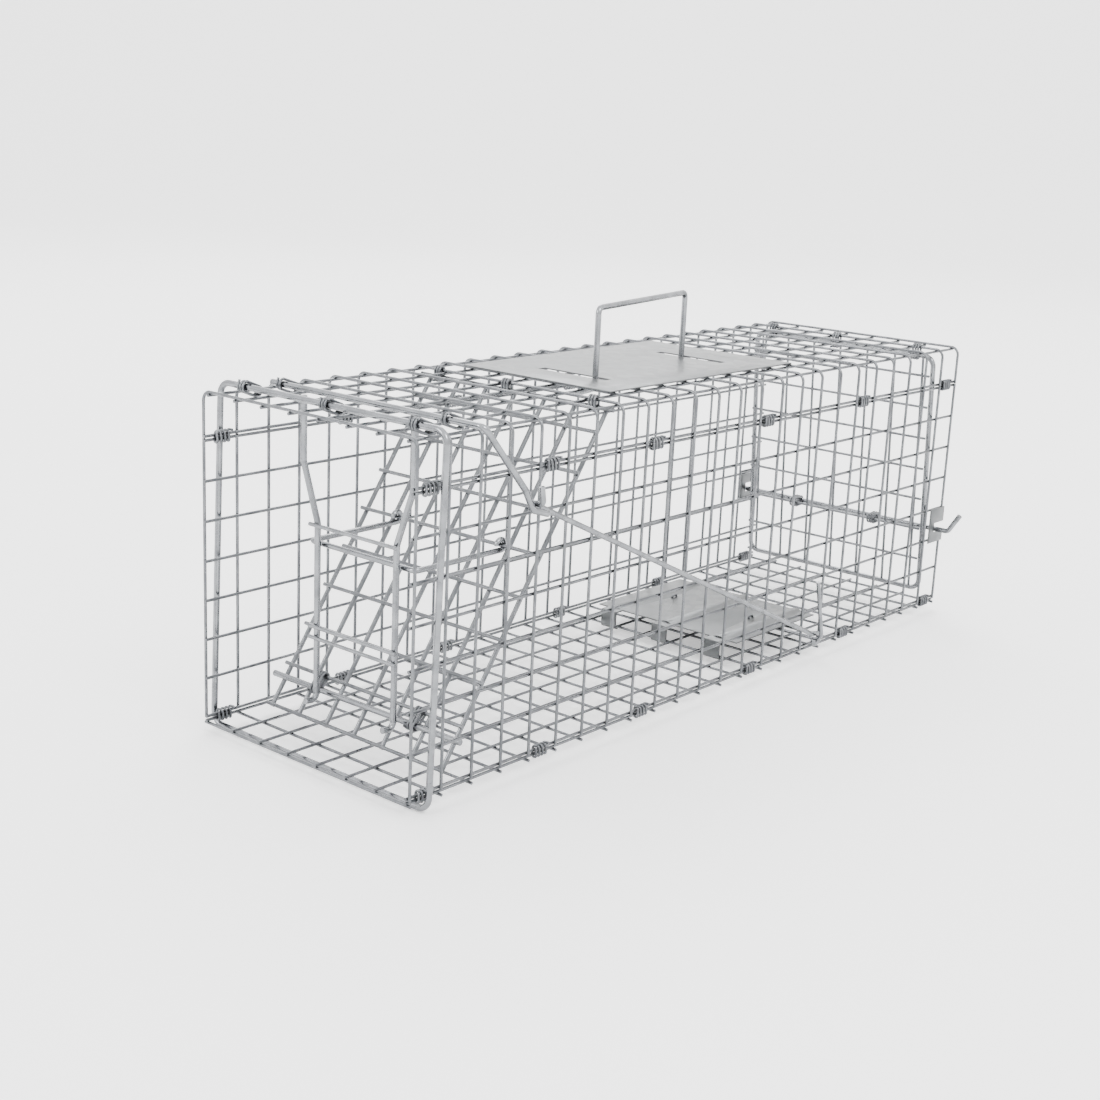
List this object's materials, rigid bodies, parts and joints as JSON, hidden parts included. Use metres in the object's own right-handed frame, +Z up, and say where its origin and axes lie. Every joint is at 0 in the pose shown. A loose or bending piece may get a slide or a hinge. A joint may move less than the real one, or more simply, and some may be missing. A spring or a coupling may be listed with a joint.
{
  "type": "live catch trap",
  "caption": "Long welded-wire cage trap with a slanting drop door, a swinging lock frame, a floor treadle, a folding carry handle and a hinged rear panel.",
  "frame": {"origin": "on the ground under the middle of the cage", "axes": "+X to the rear panel, the door end is -X; +Y to the far side, the trip rod is on the -Y side; +Z up"},
  "size_m": [0.603, 0.2107, 0.2645],
  "materials": {
    "zinc_wire": "bright zinc plated",
    "zinc_rod": "bright zinc plated",
    "clip_steel": "zinc plated",
    "galvanised_sheet": "galvanised satin"
  },
  "bodies": {
    "cage": {"floor_mesh": "zinc_wire", "near_side_mesh": "zinc_wire", "far_side_mesh": "zinc_wire", "roof_mesh": "zinc_wire", "lower_seam_clips": "clip_steel", "upper_seam_clips": "clip_steel", "front_hoop_clips": "clip_steel", "door_hinge_clips": "clip_steel", "lock_shaft_clips": "clip_steel", "handle_plate": "galvanised_sheet", "rear_hinge_clips": "clip_steel", "near_rear_bracket": "galvanised_sheet", "far_rear_bracket": "galvanised_sheet"},
    "hoop": {"front_hoop": "zinc_rod"},
    "door": {"door_mesh": "zinc_wire", "door_lock_rod": "zinc_rod", "door_rod_clips": "clip_steel"},
    "lock": {"lock_frame": "zinc_rod"},
    "bail": {"door_bail": "zinc_rod"},
    "treadle": {"treadle_plate": "galvanised_sheet", "treadle_link": "zinc_rod", "treadle_ties": "clip_steel"},
    "trip": {"trip_rod": "zinc_rod"},
    "handle": {"carry_handle": "zinc_rod"},
    "rear_panel": {"rear_panel_border": "zinc_rod", "rear_panel_mesh": "zinc_wire", "rear_rod_coils": "clip_steel"},
    "rear_lock": {"rear_lock_rod": "zinc_rod"}
  },
  "joints": [
    {"name": "door_swing", "type": "hinge", "parent": "cage", "child": "door", "pos_m": [-0.125, 0, 0.2104], "axis": [0, 1, 0], "range_deg": [0, 44]},
    {"name": "lock_frame_swing", "type": "hinge", "parent": "cage", "child": "lock", "pos_m": [-0.259, 0, 0.2185], "axis": [0, 1, 0], "range_deg": [0, 66]},
    {"name": "bail_swing", "type": "hinge", "parent": "door", "child": "bail", "pos_m": [-0.18182, 0, 0.12804], "axis": [0, 1, 0], "range_deg": [-41, 0]},
    {"name": "treadle_tilt", "type": "hinge", "parent": "cage", "child": "treadle", "pos_m": [0.05, 0, 0.006], "axis": [0, 1, 0], "range_deg": [0, 1.5]},
    {"name": "trip_rod_tilt", "type": "hinge", "parent": "treadle", "child": "trip", "pos_m": [0.115, -0.094, 0.0152], "axis": [0, 1, 0], "range_deg": [-1.2, 0]},
    {"name": "handle_fold", "type": "hinge", "parent": "cage", "child": "handle", "pos_m": [-0.0065, -0.01, 0.2101], "axis": [0.9803, 0.1976, 0], "range_deg": [-40, 35]},
    {"name": "front_hoop_swing", "type": "hinge", "parent": "cage", "child": "hoop", "pos_m": [-0.283, 0, 0.2185], "axis": [0, 1, 0], "range_deg": [0, 90]},
    {"name": "rear_panel_swing", "type": "hinge", "parent": "cage", "child": "rear_panel", "pos_m": [0.275, 0, 0.2089], "axis": [0, -1, 0], "range_deg": [0, 75]},
    {"name": "rear_lock_slide", "type": "slide", "parent": "rear_panel", "child": "rear_lock", "axis": [0, -1, 0], "range_m": [0, 0.02]}
  ],
  "couplings": [
    {"joint": "lock_frame_swing", "follows": "door_swing", "ratio": 1.5},
    {"joint": "bail_swing", "follows": "door_swing", "ratio": -0.93},
    {"joint": "trip_rod_tilt", "follows": "treadle_tilt", "ratio": -0.8}
  ]
}
